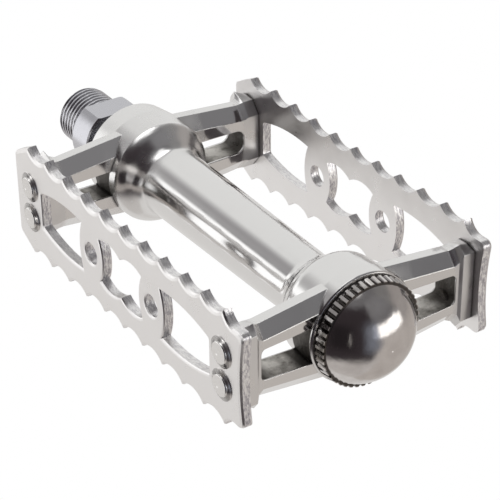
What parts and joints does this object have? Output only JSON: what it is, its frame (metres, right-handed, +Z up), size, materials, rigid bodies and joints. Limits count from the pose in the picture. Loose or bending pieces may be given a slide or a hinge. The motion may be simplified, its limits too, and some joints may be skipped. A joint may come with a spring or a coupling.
{
  "type": "bicycle touring pedal",
  "caption": "Touring pedal with a toothed cage riveted to a cast barrel body that turns on ball bearings on a threaded spindle, closed by a domed cap.",
  "frame": {"origin": "on the spindle axis at the collar's shoulder that seats against the crank arm", "axes": "+Y along the spindle towards the crank, +X across the pedal, +Z up"},
  "size_m": [0.0662, 0.1269, 0.028],
  "materials": {
    "cast_alloy": "polished casting, dull inside the windows",
    "plate_alloy": "satin sheet with rolled bright edges",
    "rivet_alloy": "satin domed heads",
    "bright_cap": "polished dome with a knurled rim",
    "spindle_steel": "satin plated steel",
    "bearing_steel": "ground hardened steel",
    "ball_steel": "lapped bearing balls",
    "seal_rubber": "matt black rubber"
  },
  "bodies": {
    "pedal": {"pedal_body": "cast_alloy", "cage_plate_front": "plate_alloy", "cage_plate_rear": "plate_alloy", "crank_side_cup": "bearing_steel", "cap_side_cup": "bearing_steel", "seal_ring": "seal_rubber", "dust_cap": "bright_cap", "rivet_front_1": "rivet_alloy", "rivet_front_2": "rivet_alloy", "rivet_front_3": "rivet_alloy", "rivet_front_4": "rivet_alloy", "rivet_rear_1": "rivet_alloy", "rivet_rear_2": "rivet_alloy", "rivet_rear_3": "rivet_alloy", "rivet_rear_4": "rivet_alloy"},
    "spindle": {"spindle": "spindle_steel", "outer_cone": "bearing_steel", "lock_washer": "spindle_steel", "lock_nut": "spindle_steel"},
    "crank_side_balls": {"crank_side_ball_01": "ball_steel", "crank_side_ball_02": "ball_steel", "crank_side_ball_03": "ball_steel", "crank_side_ball_04": "ball_steel", "crank_side_ball_05": "ball_steel", "crank_side_ball_06": "ball_steel", "crank_side_ball_07": "ball_steel", "crank_side_ball_08": "ball_steel", "crank_side_ball_09": "ball_steel", "crank_side_ball_10": "ball_steel", "crank_side_ball_11": "ball_steel", "crank_side_ball_12": "ball_steel"},
    "cap_side_balls": {"cap_side_ball_01": "ball_steel", "cap_side_ball_02": "ball_steel", "cap_side_ball_03": "ball_steel", "cap_side_ball_04": "ball_steel", "cap_side_ball_05": "ball_steel", "cap_side_ball_06": "ball_steel", "cap_side_ball_07": "ball_steel", "cap_side_ball_08": "ball_steel", "cap_side_ball_09": "ball_steel", "cap_side_ball_10": "ball_steel", "cap_side_ball_11": "ball_steel", "cap_side_ball_12": "ball_steel"}
  },
  "joints": [
    {"name": "spindle_spin", "type": "hinge", "parent": "pedal", "child": "spindle", "pos_m": [0, 0, 0], "axis": [0, 1, 0], "continuous": true},
    {"name": "crank_ball_train", "type": "hinge", "parent": "pedal", "child": "crank_side_balls", "pos_m": [0, 0, 0], "axis": [0, 1, 0], "continuous": true},
    {"name": "cap_ball_train", "type": "hinge", "parent": "pedal", "child": "cap_side_balls", "pos_m": [0, 0, 0], "axis": [0, 1, 0], "continuous": true}
  ],
  "couplings": [
    {"joint": "crank_ball_train", "follows": "spindle_spin", "ratio": 0.41},
    {"joint": "cap_ball_train", "follows": "spindle_spin", "ratio": 0.41}
  ]
}
